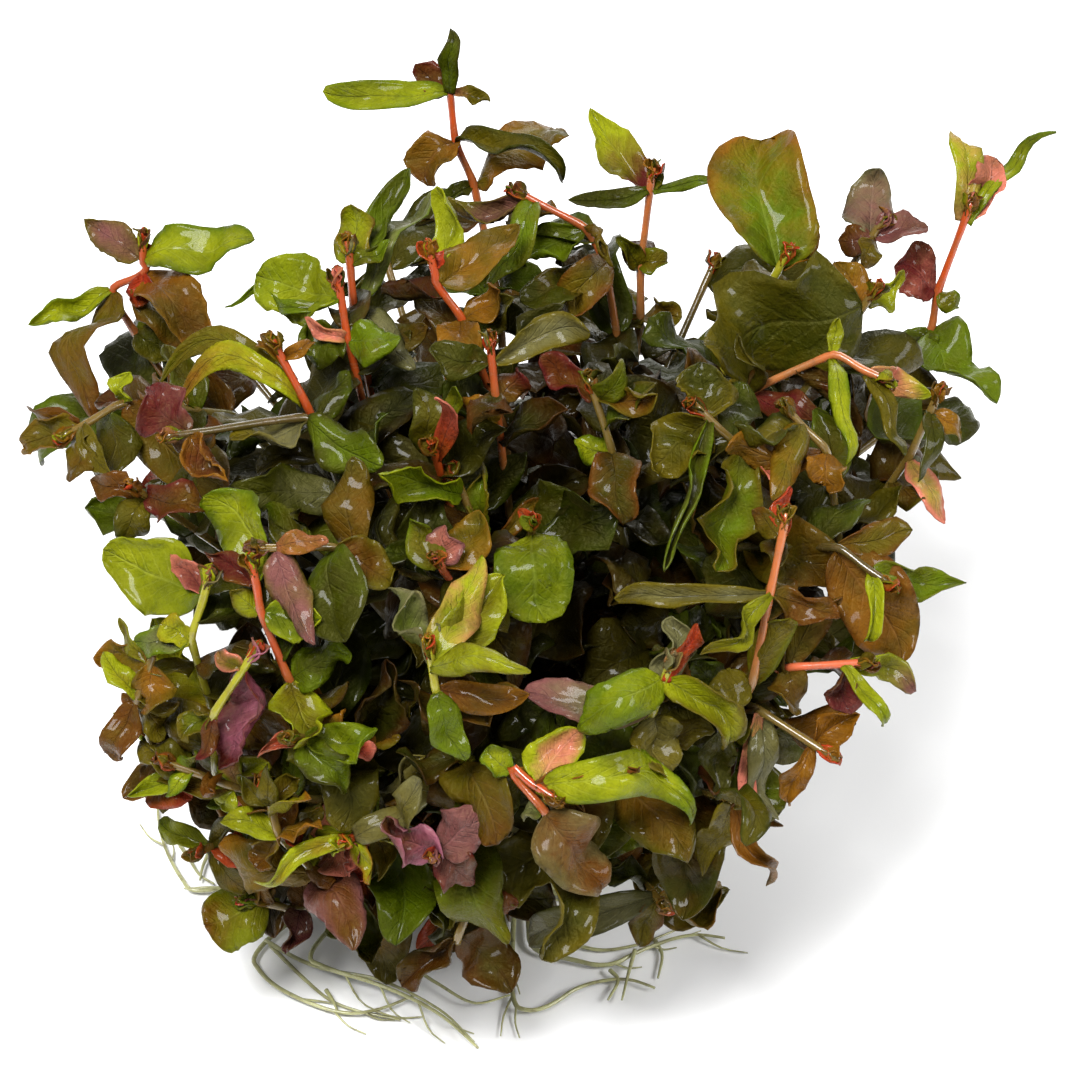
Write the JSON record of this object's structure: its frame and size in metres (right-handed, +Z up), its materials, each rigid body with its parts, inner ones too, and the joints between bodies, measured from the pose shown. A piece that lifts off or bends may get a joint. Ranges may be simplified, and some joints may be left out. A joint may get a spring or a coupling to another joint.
{
  "type": "giant red rotala plant clump",
  "caption": "Clump of giant red rotala: rooted shoots with crinkled opposite leaves, lime green to wine red, standing on its mat of roots.",
  "frame": {"origin": "middle of the root mat's flat underside", "axes": "+Z up along the way the shoots grow, +X to the right of the picture, +Y away from the viewer"},
  "size_m": [0.0921, 0.0831, 0.0594],
  "materials": {
    "leaves_green": "wet, thin, glossy leaf, lime to dark green, veined",
    "leaves_olive": "wet, glossy leaf, olive to ochre with rusty edges",
    "leaves_red": "wet, glossy leaf, bronze, pink and wine red",
    "stems": "smooth, moist stem, orange red near the tip and olive brown below",
    "roots": "fine, moist root, pale green grey"
  },
  "bodies": {
    "root": {"shoot_top": "leaves_olive", "shoot_arc": "leaves_olive", "shoot_red_bud": "leaves_olive", "shoot_spoon": "leaves_green", "shoot_round_leaf": "leaves_green", "shoot_curled_tip": "leaves_green", "shoot_far_left": "leaves_red", "shoot_left_edge": "leaves_olive", "shoot_wine_pair": "leaves_red", "shoot_left_dark": "leaves_red", "shoot_left_front": "leaves_green", "shoot_lime_wing": "leaves_green", "shoot_mauve_rim": "leaves_red", "shoot_left_low": "leaves_olive", "shoot_mauve_leaf": "leaves_red", "shoot_low_lime": "leaves_olive", "shoot_loops": "leaves_green", "shoot_bud_cluster": "leaves_olive", "shoot_trilobe": "leaves_green", "shoot_spoon_low": "leaves_red", "shoot_purple_knot": "leaves_red", "shoot_corner_leaf": "leaves_green", "shoot_rolled_pair": "leaves_green", "shoot_middle_bud": "leaves_olive", "shoot_round_green": "leaves_green", "shoot_pink_bud": "leaves_red", "shoot_star": "leaves_green", "shoot_right_star": "leaves_green", "shoot_pink_tip": "leaves_red", "shoot_spoon_high": "leaves_green", "shoot_tall_leaf": "leaves_green", "shoot_big_leaf": "leaves_green", "shoot_mauve_top": "leaves_red", "shoot_right_tip": "leaves_red", "shoot_right_bud": "leaves_olive", "shoot_right_side": "leaves_olive", "shoot_right_inner": "leaves_red", "shoot_rolled_dark": "leaves_green", "shoot_middle_right": "leaves_green", "shoot_middle_top": "leaves_olive", "shoot_orange_stem": "leaves_olive", "shoot_orange_leaf": "leaves_olive", "shoot_right_low_tip": "leaves_red", "shoot_right_low": "leaves_olive", "shoot_low_right": "leaves_olive", "shoot_bottom_right": "leaves_olive", "shoot_bottom": "leaves_red", "shoot_back_1": "leaves_olive", "shoot_back_2": "leaves_green", "shoot_back_3": "leaves_red", "shoot_back_4": "leaves_olive", "shoot_back_5": "leaves_green", "shoot_back_6": "leaves_green", "shoot_back_7": "leaves_olive", "root_mat": "roots", "root_left_front": "roots", "root_long": "roots", "root_right_front": "roots", "root_right": "roots", "root_left_side": "roots"}
  },
  "joints": []
}
